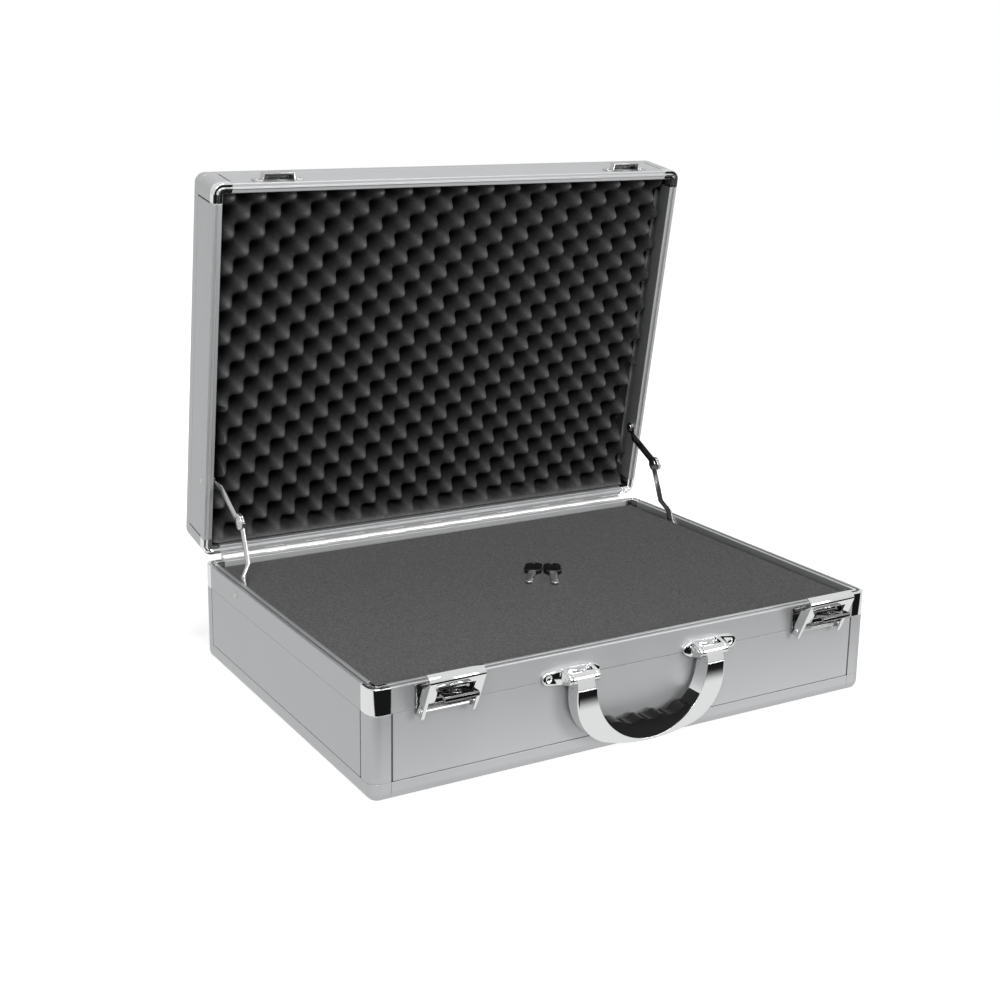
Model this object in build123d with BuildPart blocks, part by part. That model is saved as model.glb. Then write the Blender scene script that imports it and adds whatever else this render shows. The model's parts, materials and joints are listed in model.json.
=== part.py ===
"""Aluminium tool case with a hinged lid, two lever latches and a drop handle.

Units are millimetres and degrees. The origin is the centre of the underside of the base,
the front faces -Y and +Z is up. Every piece is drawn where it lies with the lid standing
open on its two stays, the latches sprung out and the handle hanging.
"""
from build123d import *
from math import atan2, cos, degrees, hypot, radians, sin, sqrt, tan
import os

# Overall sizes
case_width = 460.0
case_depth = 330.0
base_height = 87.0
lid_height = 50.0
lid_opening = 80.5
parting_gap = 0.4

# Extruded frame profiles
corner_leg = 16.0
corner_radius = 9.0
edge_radius = 8.0
edge_leg = 15.0
profile_wall = 4.5
lip_length = 8.0
seam_gap = 0.2
base_flange = 20.0
lid_flange = 7.0
head_width = 8.0
head_depth = 14.0
rim_round = 0.8
groove_start = 2.8
groove_width = 2.6
groove_depth = 3.0
tongue_height = 2.0
tongue_clearance = 0.7

# Panels
panel_thickness = 3.0
panel_gap = 1.5
panel_fit = 0.6
panel_corner = 1.0

# Foam
foam_side_gap = 3.0
foam_end_gap = 1.5
foam_corner = 3.0
base_foam_drop = 4.5
lid_foam_drop = 3.4
pit_pitch_x = 27.0
pit_pitch_y = 30.3
pit_phase_x = 4.5
pit_phase_y = 14.5
pit_depth = 15.0
pit_top_share = 0.47
pit_floor_share = 0.22
pit_margin = 0.8

# Continuous hinge
knuckle_radius = 3.2
knuckle_gap = 0.2
hinge_pin_radius = 1.5
hinge_bore_fit = 0.1
leaf_thickness = 1.2
leaf_height = 15.0
leaf_set_back = 3.6
hinge_from_end = 18.0
knuckle_count = 21

# Lid stays
base_pivot_from_rear = 74.7
base_pivot_drop = 8.5
lid_pivot_from_rear = 69.5
lid_pivot_rise = 7.9
lower_link_length = 61.0
upper_link_length = 56.0
link_thickness = 1.5
link_width = 8.0
link_eye_radius = 5.0
elbow_radius = 7.0
stay_running_gap = 0.3
upper_link_step = 4.7
lower_joggle_start = 15.0
lower_joggle_length = 10.0
upper_joggle_start = 6.0
upper_joggle_length = 8.0
stay_rivet_radius = 2.0
stay_rivet_fit = 0.15
stay_head_radius = 3.4
stay_head_height = 1.0
elbow_head_radius = 3.6
elbow_head_height = 0.8
stop_tab_width = 5.0
stop_tab_turn = 17.0
stay_outer_head_radius = 3.0
foam_notch_margin = 4.5

# Latches
latch_from_end = 58.0
latch_plate_width = 47.0
latch_plate_bottom = 63.0
latch_plate_top = 86.0
sheet = 1.2
latch_hinge_out = 5.0
latch_hinge_z = 66.5
latch_tilt = 24.0
cover_width = 45.0
cover_front = 4.5
cover_bottom = -4.0
cover_top = 33.5
curl_radius = 4.0
curl_reach = 3.0
cover_lobe = 3.5
flange_top = 21.0
window_half_width = 15.0
window_bottom = 0.0
window_top = 26.0
latch_ear_inset = 1.8
latch_pin_radius = 1.2
pin_fit = 0.1
lever_pivot_o = 1.0
lever_pivot_u = 15.5
lever_pin_radius = 1.1
lever_hub = 2.4
lever_width = 27.6
lever_reach = 15.0
lever_open_angle = 114.0
lever_lip = 4.0
lever_plate = 1.5
lock_centre = 7.6
lock_housing_radius = 4.2
lock_plug_radius = 3.0
lock_depth = 5.5
carrier_bottom = 12.6
carrier_top = 23.6
carrier_back = -2.4
carrier_gap = 0.2

# Keepers on the lid
keeper_width = 44.0
keeper_hook_width = 27.0
keeper_bottom = 4.4
keeper_height = 6.2
keeper_tab_height = 8.0
keeper_raise = 6.6
keeper_screw_radius = 1.9

# Handle
handle_spacing = 120.0
handle_axis_out = 10.0
handle_axis_z = 69.0
barrel_radius = 4.2
barrel_length = 20.8
handle_pin_radius = 1.5
ear_thickness = 2.8
ear_gap = 0.3
pad_height = 13.0
pad_thickness = 2.5
pad_outer_reach = 30.0
pad_inner_reach = 21.0
leg_width = 17.0
bow_depth = 14.0
bow_bottom = 9.0
bow_shoulder_z = 53.0
bow_corner_radius = 40.0
bow_bottom_thickness = 2.4
bow_round = 1.6
leg_top_z = 61.0
leg_root = 1.0
grip_fit = 0.15
grip_depth = 13.0
grip_top = 27.6
grip_wave = 1.5
finger_pitch = 18.0
grip_shoulder_x = 37.0
grip_end_x = 45.0

# Keys: the place of each head on the foam, and the turn of its blade
key_spots = ((33.0, 12.0), (19.3, 21.3))
key_turns = (-119.0, -128.0)
key_head_length = 22.0
key_head_width = 15.4
key_head_corner = 6.0
key_head_thickness = 4.0
key_head_round = 0.7
key_hole_radius = 1.8
key_blade_length = 28.0
key_blade_width = 6.5
key_blade_thickness = 1.6
key_tooth = 3.0
key_shoulder = 5.0

half_width = case_width / 2
half_depth = case_depth / 2
hinge_y = half_depth + knuckle_radius + knuckle_gap
base_pivot_y = half_depth - base_pivot_from_rear
lid_pivot_y = half_depth - lid_pivot_from_rear
latch_spacing = case_width - 2 * latch_from_end
hinge_length = case_width - 2 * hinge_from_end
foam_top = base_height - base_foam_drop
inner_face = half_width - head_width

UP = (0, 0, 1)
lid_swing = (
    Location((0, hinge_y, base_height))
    * Location((0, 0, 0), (-lid_opening, 0, 0))
    * Location((0, -hinge_y, -base_height))
)
closed_lid = Plane(origin=(0, 0, base_height + lid_height), x_dir=(1, 0, 0), z_dir=(0, 0, -1))
base_half = Plane.XY
lid_half = Plane(lid_swing * closed_lid.location)
lid_rim_height = lid_height - parting_gap


def on(half, origin, x_dir, z_dir):
    """A plane given in the coordinates of one half of the case."""
    local = Plane(origin=origin, x_dir=x_dir, z_dir=z_dir)
    return Plane(half.location * local.location)


def opened(plane):
    """A plane of the closed lid, carried to where the lid stands open."""
    return Plane(lid_swing * plane.location)


def save(part, label):
    part.label = label
    export_step(part, f"parts/{label}.step")


def wall_table(front_side):
    """Middle of each wall's outer face, its inward direction and its length."""
    return {
        "front": ((0, front_side * half_depth), (0, -front_side), case_width),
        "rear": ((0, -front_side * half_depth), (0, front_side), case_width),
        "left": ((-half_width, 0), (1, 0), case_depth),
        "right": ((half_width, 0), (-1, 0), case_depth),
    }


def section_plane(half, point, inward):
    """Cross-section plane of a wall: x runs inward from the outer face, y runs to the rim."""
    z_dir = (inward[1], -inward[0], 0)
    return on(half, (point[0], point[1], 0), (inward[0], inward[1], 0), z_dir)


corners = [(sx, sy) for sx in (-1, 1) for sy in (-1, 1)]


def corner_planes(half, sx, sy, reach):
    """Cross-section planes of both walls at that distance from the corner (sx, sy).

    Each comes with the sense in which an extrusion runs away from the corner.
    """
    side = section_plane(half, (sx * half_width, sy * (half_depth - reach)), (-sx, 0))
    end = section_plane(half, (sx * (half_width - reach), sy * half_depth), (0, -sy))
    return (side, -sx * sy), (end, sx * sy)


def corner_axis(half, sx, sy):
    centre = Vector(sx * (half_width - corner_radius), sy * (half_depth - corner_radius), 0)
    return Axis(half.from_local_coords(centre), half.z_dir * (sx * sy))


# Walls and flat panels
def wall_panel(half, wall, height, flange):
    point, inward, length = wall
    low = edge_leg + panel_fit
    high = height - flange - seam_gap
    span = length - 2 * (corner_leg + panel_gap)
    with BuildPart() as panel:
        with BuildSketch(section_plane(half, point, inward)):
            with Locations((panel_thickness / 2, (low + high) / 2)):
                Rectangle(panel_thickness, high - low)
        extrude(amount=span / 2, both=True)
    return panel.part


def face_panel(half):
    """The bottom panel of the base or the top panel of the lid."""
    inset = edge_leg + panel_fit
    with BuildPart() as panel:
        with BuildSketch(half):
            RectangleRounded(case_width - 2 * inset, case_depth - 2 * inset, panel_corner)
        extrude(amount=panel_thickness)
    return panel.part


# Edge profiles: the rounded angle between a wall and the big face
def edge_section(plane):
    inner_radius = edge_radius - profile_wall
    with BuildSketch(plane) as section:
        with BuildLine():
            Line((0, edge_leg), (0, edge_radius))
            RadiusArc((0, edge_radius), (edge_radius, 0), -edge_radius)
            Polyline((edge_radius, 0), (edge_leg, 0), (edge_leg, profile_wall),
                     (edge_radius, profile_wall))
            RadiusArc((edge_radius, profile_wall), (profile_wall, edge_radius), inner_radius)
            Polyline((profile_wall, edge_radius), (profile_wall, edge_leg), (0, edge_leg))
        make_face()
    return section.sketch


def edge_lips(plane):
    middle = (panel_thickness + profile_wall) / 2
    depth = profile_wall - panel_thickness
    with BuildSketch(plane) as section:
        with Locations((middle, edge_leg + lip_length / 2)):
            Rectangle(depth, lip_length)
        with Locations((edge_leg + lip_length / 2, middle)):
            Rectangle(lip_length, depth)
    return section.sketch


def edge_rails(half, walls):
    with BuildPart() as rails:
        for point, inward, length in walls:
            plane = section_plane(half, point, inward)
            body_half = length / 2 - corner_leg - seam_gap
            extrude(edge_section(plane), amount=body_half, both=True)
            extrude(edge_lips(plane), amount=body_half - lip_length, both=True)
    return rails.part


def corner_block(sx, sy):
    """One cast corner: a block rounded on three edges, hollow, and notched for the big panel."""
    x, y = sx * (half_width - corner_leg / 2), sy * (half_depth - corner_leg / 2)
    with BuildPart() as block:
        with BuildSketch():
            with Locations((x, y)):
                Rectangle(corner_leg, corner_leg)
        extrude(amount=edge_leg)
        point = Vertex(sx * half_width, sy * half_depth, edge_leg)
        fillet(block.edges().filter_by(Axis.Z).sort_by_distance(point)[0], corner_radius)
        bottom = block.edges().group_by(Axis.Z)[0].sort_by_distance(
            Vertex(-sx * half_width, -sy * half_depth, 0), reverse=True)
        fillet(bottom[:3], edge_radius)
        for depth, floor in ((profile_wall, profile_wall), (edge_leg, 0)):
            with BuildSketch(Plane.XY.offset(floor)):
                with Locations((x - sx * depth, y - sy * depth)):
                    Rectangle(corner_leg, corner_leg)
            extrude(amount=edge_leg, mode=Mode.SUBTRACT)
    return block.part


def face_corners(half):
    """Cast three-way corners between the edge profiles and the corner posts."""
    with BuildPart(half) as pieces:
        for sx, sy in corners:
            add(corner_block(sx, sy))
    return pieces.part


def corner_posts(half, height, flange):
    low = edge_leg + seam_gap
    high = height - flange - seam_gap
    lip_middle = (panel_thickness + profile_wall) / 2
    with BuildPart() as posts:
        for sx, sy in corners:
            for plane, sense in corner_planes(half, sx, sy, corner_radius):
                with BuildSketch(plane, mode=Mode.PRIVATE) as wall:
                    with Locations((profile_wall / 2, (low + high) / 2)):
                        Rectangle(profile_wall, high - low)
                extrude(wall.sketch, amount=sense * (corner_leg - corner_radius))
                if sense == -sx * sy:
                    revolve(wall.sketch, axis=corner_axis(half, sx, sy), revolution_arc=90)
            for plane, sense in corner_planes(half, sx, sy, corner_leg):
                with BuildSketch(plane, mode=Mode.PRIVATE) as lip:
                    with Locations((lip_middle, (low + high) / 2)):
                        Rectangle(profile_wall - panel_thickness, high - low)
                extrude(lip.sketch, amount=sense * lip_length)
    return posts.part


# Rim profiles: the flange over the panels and the head that meets the other half
def rim_section(plane, height, flange, tongue):
    groove_end = groove_start + groove_width
    tongue_start = groove_start + tongue_clearance
    tongue_end = groove_end - tongue_clearance
    if tongue:
        crown = [(tongue_start, height), (tongue_start, height + tongue_height),
                 (tongue_end, height + tongue_height), (tongue_end, height)]
    else:
        crown = [(groove_start, height), (groove_start, height - groove_depth),
                 (groove_end, height - groove_depth), (groove_end, height)]
    with BuildSketch(plane) as section:
        with BuildLine():
            Line((0, height - flange), (0, height - rim_round))
            RadiusArc((0, height - rim_round), (rim_round, height), rim_round)
            Polyline((rim_round, height), *crown, (head_width, height),
                     (head_width, height - head_depth), (profile_wall, height - head_depth),
                     (profile_wall, height - flange), (0, height - flange))
        make_face()
    return section.sketch


def rim_bars(half, walls, height, flange, tongue):
    lip_middle = (panel_thickness + profile_wall) / 2
    with BuildPart() as bars:
        for point, inward, length in walls:
            plane = section_plane(half, point, inward)
            body_half = length / 2 - corner_leg - seam_gap
            extrude(rim_section(plane, height, flange, tongue), amount=body_half, both=True)
            with BuildSketch(plane, mode=Mode.PRIVATE) as lip:
                with Locations((lip_middle, height - flange - lip_length / 2)):
                    Rectangle(profile_wall - panel_thickness, lip_length)
            extrude(lip.sketch, amount=body_half - lip_length - seam_gap, both=True)
    return bars.part


def rim_corners(half, height, flange, tongue):
    """Bright corner pieces: the rim's section carried round the corner and a little along."""
    with BuildPart() as pieces:
        for sx, sy in corners:
            for plane, sense in corner_planes(half, sx, sy, corner_radius):
                section = rim_section(plane, height, flange, tongue)
                extrude(section, amount=sense * (corner_leg - corner_radius))
                if sense == -sx * sy:
                    revolve(section, axis=corner_axis(half, sx, sy), revolution_arc=90)
    return pieces.part


# Stays: two jointed links on each side, worked out from their pivots and lengths
def to_open(y, z):
    """Carry a point of the closed lid, seen from the side, to the open lid."""
    turn = radians(lid_opening)
    dy, dz = y - hinge_y, z - base_height
    return (hinge_y + dy * cos(turn) + dz * sin(turn),
            base_height - dy * sin(turn) + dz * cos(turn))


def elbow_from(lower, upper):
    """The elbow of the two links, on the side of the line of pivots that faces front and up."""
    dy, dz = upper[0] - lower[0], upper[1] - lower[1]
    span = hypot(dy, dz)
    along = (lower_link_length ** 2 - upper_link_length ** 2 + span ** 2) / (2 * span)
    off = sqrt(lower_link_length ** 2 - along ** 2)
    return (lower[0] + (along * dy - off * dz) / span, lower[1] + (along * dz + off * dy) / span)


base_pivot = (base_pivot_y, base_height - base_pivot_drop)
lid_pivot_closed = (lid_pivot_y, base_height + lid_pivot_rise)
lid_pivot = to_open(*lid_pivot_closed)
elbow = elbow_from(base_pivot, lid_pivot)
elbow_closed = elbow_from(base_pivot, lid_pivot_closed)
lower_link_step = upper_link_step + link_thickness + stay_running_gap
stay_reach = stay_running_gap + lower_link_step + link_thickness + stay_head_height


def link_angle(start, end):
    return atan2(end[1] - start[1], end[0] - start[0])


def side_plane(sx, point, angle, inset=0.0):
    """Plane against an inner rim face: x along the link, z inward from the face."""
    origin = (sx * (inner_face - inset), point[0], point[1])
    return Plane(origin=origin, x_dir=(0, cos(angle), sin(angle)), z_dir=(-sx, 0, 0))


def strip_plane(sx, point, angle):
    """Plane through a link: x along the link, y inward from the rim face."""
    along = Vector(0, cos(angle), sin(angle))
    inward = Vector(-sx, 0, 0)
    return Plane(origin=(sx * inner_face, point[0], point[1]), x_dir=along,
                 z_dir=along.cross(inward))


def add_stop_tab(sx, centre, angle, inset):
    """Lug of the upper link, bent inward, that the edge of the lower link comes to rest on."""
    plane = side_plane(sx, centre, angle - radians(stop_tab_turn), inset)
    tab_middle = elbow_radius + stay_running_gap + link_thickness / 2
    tab_end = tab_middle + link_thickness / 2
    with BuildSketch(plane, mode=Mode.PRIVATE) as lug:
        with Locations((tab_end / 2, 0)):
            Rectangle(tab_end, stop_tab_width)
    extrude(lug.sketch, amount=link_thickness)
    with BuildSketch(plane, mode=Mode.PRIVATE) as tab:
        with Locations((tab_middle, 0)):
            Rectangle(link_thickness, stop_tab_width)
    extrude(tab.sketch, amount=lower_link_step - upper_link_step + link_thickness)


def stay_link(sx, start, end, step, joggle_start, joggle_length, inward_head):
    """A pressed link: its flat outline cut from a strip that steps away from the wall.

    The elbow rivet of one link points inward and that of the other back to the wall.
    """
    length = hypot(end[0] - start[0], end[1] - start[1])
    angle = link_angle(start, end)
    low, high = stay_running_gap, stay_running_gap + link_thickness
    joggle_end = joggle_start + joggle_length
    bend_shift = link_thickness * tan(atan2(step, joggle_length) / 2)
    with BuildPart() as link:
        with BuildSketch(side_plane(sx, start, angle)):
            Circle(link_eye_radius)
            with Locations((length / 2, 0)):
                Rectangle(length, link_width)
            with Locations((length, 0)):
                Circle(elbow_radius)
            Circle(stay_rivet_radius + stay_rivet_fit, mode=Mode.SUBTRACT)
        extrude(amount=stay_reach)
        with BuildSketch(strip_plane(sx, start, angle)):
            with BuildLine():
                Polyline((-link_eye_radius, low), (joggle_start, low),
                         (joggle_end, low + step), (length + elbow_radius, low + step),
                         (length + elbow_radius, high + step),
                         (joggle_end - bend_shift, high + step),
                         (joggle_start - bend_shift, high), (-link_eye_radius, high), close=True)
            make_face()
        extrude(amount=elbow_radius, both=True, mode=Mode.INTERSECT)
        head_start = high + step if inward_head else low + step
        sense = 1 if inward_head else -1
        with BuildSketch(side_plane(sx, end, angle, head_start)):
            Circle(elbow_head_radius)
        extrude(amount=sense * elbow_head_height, taper=20)
        if not inward_head:
            add_stop_tab(sx, end, angle, low + step)
    return link.part


def stay_rivets(point, stand):
    """Rivets of both stays through the walls, with a domed head outside and one on the link."""
    shank = head_width + stay_running_gap + link_thickness + stay_rivet_fit
    with BuildPart() as rivets:
        for sx in (-1, 1):
            outer = stand(Plane(origin=(sx * half_width, *point), x_dir=(0, 1, 0),
                                z_dir=(-sx, 0, 0)))
            with BuildSketch(outer, mode=Mode.PRIVATE) as shank_end:
                Circle(stay_rivet_radius)
            extrude(shank_end.sketch, amount=shank)
            with BuildSketch(outer, mode=Mode.PRIVATE) as outer_head:
                Circle(stay_outer_head_radius)
            extrude(outer_head.sketch, amount=-stay_head_height, taper=35)
            with BuildSketch(outer.offset(shank), mode=Mode.PRIVATE) as inner_head:
                Circle(stay_head_radius)
            extrude(inner_head.sketch, amount=stay_head_height, taper=20)
    return rivets.part


def bored(walls, point, stand):
    """A side wall or its rim profiles, with the holes for the stay rivets."""
    across = stand(Plane(origin=(0, *point), x_dir=(0, 1, 0), z_dir=(1, 0, 0)))
    with BuildPart() as drilled:
        add(walls)
        with BuildSketch(across):
            Circle(stay_rivet_radius)
        extrude(amount=half_width, both=True, mode=Mode.SUBTRACT)
    return drilled.part


# Latches: a plate on the wall, a sprung cover, a carrier with the lever pin, lever and lock
tilt_cos, tilt_sin = cos(radians(latch_tilt)), sin(radians(latch_tilt))


def wall_section(x):
    """Plane across the front wall: x runs outward from the wall, y runs up."""
    return Plane(origin=(x, -half_depth, 0), x_dir=(0, -1, 0), z_dir=(-1, 0, 0))


def wall_face(x, out=0.0):
    """Plane parallel to the front wall: x to the right, y up, z outward."""
    return Plane(origin=(x, -half_depth - out, 0), x_dir=(1, 0, 0), z_dir=(0, -1, 0))


def cover_section(x):
    """Plane across a sprung cover, from its hinge pin: x outward, y up the cover."""
    return Plane(origin=(x, -half_depth - latch_hinge_out, latch_hinge_z),
                 x_dir=(0, -tilt_cos, -tilt_sin), z_dir=(-1, 0, 0))


def cover_face(x):
    return Plane(origin=(x, -half_depth - latch_hinge_out, latch_hinge_z),
                 x_dir=(1, 0, 0), z_dir=(0, -tilt_cos, -tilt_sin))


def lever_section(x):
    """Plane across a lever, from its pin: x along the lever, y towards its show face."""
    pin = cover_section(x).from_local_coords(Vector(lever_pivot_o, lever_pivot_u, 0))
    angle = radians(lever_open_angle - 90 - latch_tilt)
    return Plane(origin=pin, x_dir=(0, -cos(angle), sin(angle)), z_dir=(-1, 0, 0))


def lever_face(x, height):
    section = lever_section(x)
    return Plane(origin=section.from_local_coords(Vector(lock_centre, height, 0)),
                 x_dir=(1, 0, 0), z_dir=section.y_dir)


def latch_plate(x):
    ear_outer = cover_width / 2 - sheet - latch_ear_inset
    with BuildPart() as plate:
        with BuildSketch(wall_face(x)):
            with Locations((0, (latch_plate_bottom + latch_plate_top) / 2)):
                RectangleRounded(latch_plate_width, latch_plate_top - latch_plate_bottom, 1.5)
        extrude(amount=sheet)
        with BuildSketch(wall_section(x), mode=Mode.PRIVATE) as ear:
            with Locations((latch_hinge_out, latch_hinge_z)):
                Circle(2 * sheet)
            with Locations((latch_hinge_out / 2, latch_hinge_z)):
                Rectangle(latch_hinge_out, 4 * sheet)
        with BuildSketch(wall_section(x), mode=Mode.PRIVATE) as gap:
            with Locations((sheet + latch_hinge_out, latch_hinge_z)):
                Rectangle(2 * latch_hinge_out, 8 * sheet)
        extrude(ear.sketch, amount=ear_outer, both=True)
        extrude(gap.sketch, amount=ear_outer - sheet, both=True, mode=Mode.SUBTRACT)
        with BuildSketch(wall_section(x)):
            with Locations((latch_hinge_out, latch_hinge_z)):
                Circle(latch_pin_radius + pin_fit)
        extrude(amount=cover_width, both=True, mode=Mode.SUBTRACT)
    return plate.part


def latch_hinge_pin(x):
    with BuildPart() as pin:
        with BuildSketch(cover_section(x)):
            Circle(latch_pin_radius)
        extrude(amount=cover_width / 2 + pin_fit, both=True)
        for sense in (-1, 1):
            flange = cover_section(x).offset(sense * (cover_width / 2 + pin_fit))
            with BuildSketch(flange):
                Circle(latch_pin_radius + sheet / 2)
            extrude(amount=sense * sheet / 2)
    return pin.part


def latch_cover(x):
    inner = cover_front - sheet
    shoulder = cover_top - curl_radius
    arc_start = cover_front - curl_radius
    with BuildPart() as cover:
        with BuildSketch(cover_section(x)):
            with BuildLine():
                Line((cover_front, cover_bottom), (cover_front, shoulder))
                RadiusArc((cover_front, shoulder), (arc_start, cover_top), -curl_radius)
                Polyline((arc_start, cover_top), (-curl_reach, cover_top),
                         (-curl_reach, cover_top - sheet), (arc_start, cover_top - sheet))
                RadiusArc((arc_start, cover_top - sheet), (inner, shoulder), curl_radius - sheet)
                Polyline((inner, shoulder), (inner, cover_bottom), (cover_front, cover_bottom))
            make_face()
        extrude(amount=cover_width / 2, both=True)
        with BuildSketch(cover_section(x), mode=Mode.PRIVATE) as flange:
            Circle(cover_lobe)
            with BuildLine():
                Polyline((-cover_lobe, 0), (-cover_lobe, flange_top - sheet),
                         (-cover_lobe + 2 * sheet, flange_top + sheet), (inner, shoulder),
                         (inner, cover_bottom + sheet), (0, 0), close=True)
            make_face()
            with Locations((inner + cover_lobe, 0)):
                Rectangle(2 * cover_lobe, 4 * cover_lobe, mode=Mode.SUBTRACT)
        extrude(flange.sketch, amount=cover_width / 2, both=True)
        extrude(flange.sketch, amount=cover_width / 2 - sheet, both=True, mode=Mode.SUBTRACT)
        with BuildSketch(cover_section(x)):
            Circle(latch_pin_radius + pin_fit)
        extrude(amount=cover_width, both=True, mode=Mode.SUBTRACT)
        with BuildSketch(cover_face(x)):
            with Locations((0, (window_bottom + window_top) / 2)):
                Rectangle(2 * window_half_width, window_top - window_bottom)
        extrude(amount=2 * cover_front, mode=Mode.SUBTRACT)
    return cover.part


def latch_carrier(x):
    """Bracket welded behind the window, with the pin that the lever turns on."""
    ear_inner = window_half_width + carrier_gap
    back = carrier_back + sheet
    with BuildPart() as carrier:
        with BuildSketch(cover_section(x), mode=Mode.PRIVATE) as ear:
            with BuildLine():
                Polyline((carrier_back, carrier_bottom), (cover_front - sheet, carrier_bottom),
                         (cover_front - sheet, carrier_top - 3 * sheet), (back, carrier_top),
                         (carrier_back, carrier_top), close=True)
            make_face()
        with BuildSketch(cover_section(x), mode=Mode.PRIVATE) as hollow:
            with BuildLine():
                Polyline((back, carrier_bottom - sheet), (2 * cover_front, carrier_bottom - sheet),
                         (2 * cover_front, carrier_top + sheet), (back, carrier_top + sheet),
                         close=True)
            make_face()
        with BuildSketch(cover_section(x), mode=Mode.PRIVATE) as clear_of_hub:
            with Locations((carrier_back, (carrier_bottom + lever_pivot_u + lever_hub) / 2)):
                Rectangle(2 * sheet + 1, lever_pivot_u + lever_hub - carrier_bottom + 2 * sheet)
        extrude(ear.sketch, amount=ear_inner + sheet, both=True)
        extrude(hollow.sketch, amount=ear_inner, both=True, mode=Mode.SUBTRACT)
        extrude(clear_of_hub.sketch, amount=ear_inner, both=True, mode=Mode.SUBTRACT)
        with BuildSketch(cover_section(x)):
            with Locations((lever_pivot_o, lever_pivot_u)):
                Circle(lever_pin_radius)
        extrude(amount=ear_inner + sheet, both=True)
    return carrier.part


def latch_lever(x):
    top = cover_front - lever_pivot_o
    under = top - lever_plate
    lip_under = top - lever_lip
    lip_start = lever_reach - 2 * lever_plate
    with BuildPart() as lever:
        with BuildSketch(lever_section(x)):
            Circle(lever_hub)
            with BuildLine():
                Polyline((0, 0), (0, top), (lever_reach - 1, top), (lever_reach, top - 1),
                         (lever_reach, lip_under + 1), (lever_reach - 1, lip_under),
                         (lip_start, lip_under), (lip_start, under), (lever_hub, under),
                         (lever_hub, 0), close=True)
            make_face()
            Circle(lever_pin_radius + pin_fit, mode=Mode.SUBTRACT)
        extrude(amount=lever_width / 2, both=True)
        with BuildSketch(lever_face(x, top)):
            Circle(lock_housing_radius)
        extrude(amount=-lock_depth)
        with BuildSketch(lever_face(x, top)):
            Circle(lock_plug_radius + pin_fit)
        extrude(amount=lock_depth, both=True, mode=Mode.SUBTRACT)
    return lever.part


def lock_plug(x):
    top = cover_front - lever_pivot_o
    with BuildPart() as plug:
        with BuildSketch(lever_face(x, top)):
            Circle(lock_plug_radius)
        extrude(amount=-lock_depth)
        with BuildSketch(lever_face(x, top)):
            Rectangle(1.0, lock_plug_radius * 1.3)
        extrude(amount=-lock_depth / 2, mode=Mode.SUBTRACT)
    return plug.part


def keeper(x):
    """Strap bent into a low bridge that the cover's curl hooks over."""
    low = base_height + keeper_bottom
    half_hook = keeper_hook_width / 2
    half_strap = keeper_width / 2
    bridge_plane = opened(Plane(origin=(x, -half_depth, low), x_dir=(1, 0, 0), z_dir=UP))
    with BuildPart() as strap:
        with BuildSketch(bridge_plane):
            with BuildLine():
                Polyline((-half_hook - sheet, 0), (-half_hook, -keeper_raise),
                         (half_hook, -keeper_raise), (half_hook + sheet, 0),
                         (half_hook, 0), (half_hook - sheet, sheet - keeper_raise),
                         (sheet - half_hook, sheet - keeper_raise), (-half_hook, 0), close=True)
            make_face()
        extrude(amount=keeper_height)
        face = opened(wall_face(x))
        with BuildSketch(face):
            for sense in (-1, 1):
                middle = sense * (half_strap + half_hook) / 2
                with Locations((middle, low + keeper_tab_height / 2 - sheet / 2)):
                    RectangleRounded(half_strap - half_hook, keeper_tab_height, 1.5)
        extrude(amount=sheet)
        with BuildSketch(face.offset(sheet)):
            for sense in (-1, 1):
                middle = sense * (half_strap + half_hook + sheet) / 2
                with Locations((middle, low + keeper_tab_height / 2 - sheet / 2)):
                    Circle(keeper_screw_radius)
        extrude(amount=sheet / 2, taper=30)
    return strap.part


# Handle
barrel_centre = handle_spacing / 2


def handle_bracket(sx):
    centre = sx * barrel_centre
    ear_start = barrel_length / 2 + ear_gap
    with BuildPart() as bracket:
        with BuildSketch(wall_face(centre)):
            with Locations((sx * (pad_outer_reach - 5), handle_axis_z)):
                Circle(5)
            with Locations((0, handle_axis_z)):
                Rectangle(2 * (ear_start + ear_thickness), pad_height)
            with Locations((-sx * (pad_inner_reach - 4.5), handle_axis_z)):
                Circle(4.5)
            make_hull()
        extrude(amount=pad_thickness)
        with BuildSketch(wall_section(centre), mode=Mode.PRIVATE) as ear:
            with Locations((handle_axis_out, handle_axis_z)):
                Circle(barrel_radius)
            with Locations((pad_thickness / 2, handle_axis_z)):
                Rectangle(pad_thickness, pad_height)
            make_hull()
            with Locations((handle_axis_out, handle_axis_z)):
                Circle(handle_pin_radius, mode=Mode.SUBTRACT)
        with BuildSketch(wall_section(centre), mode=Mode.PRIVATE) as between:
            with Locations((pad_thickness + case_depth / 4, handle_axis_z)):
                Rectangle(case_depth / 2, 2 * pad_height)
        extrude(ear.sketch, amount=ear_start + ear_thickness, both=True)
        extrude(between.sketch, amount=ear_start, both=True, mode=Mode.SUBTRACT)
        with BuildSketch(wall_face(centre, pad_thickness)):
            with Locations((sx * (pad_outer_reach - 5.5), handle_axis_z)):
                Circle(2.2)
        extrude(amount=-pad_thickness / 2, mode=Mode.SUBTRACT)
    return bracket.part


def handle_pins():
    with BuildPart() as pins:
        for sx in (-1, 1):
            with BuildSketch(wall_section(sx * barrel_centre)):
                with Locations((handle_axis_out, handle_axis_z)):
                    Circle(handle_pin_radius)
            extrude(amount=barrel_length / 2 + ear_gap + ear_thickness + 0.4, both=True)
    return pins.part


leg_inner = barrel_centre - leg_width / 2
leg_outer = barrel_centre + leg_width / 2
inner_low = bow_bottom + bow_bottom_thickness
inner_circle_z = inner_low + leg_inner


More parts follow.
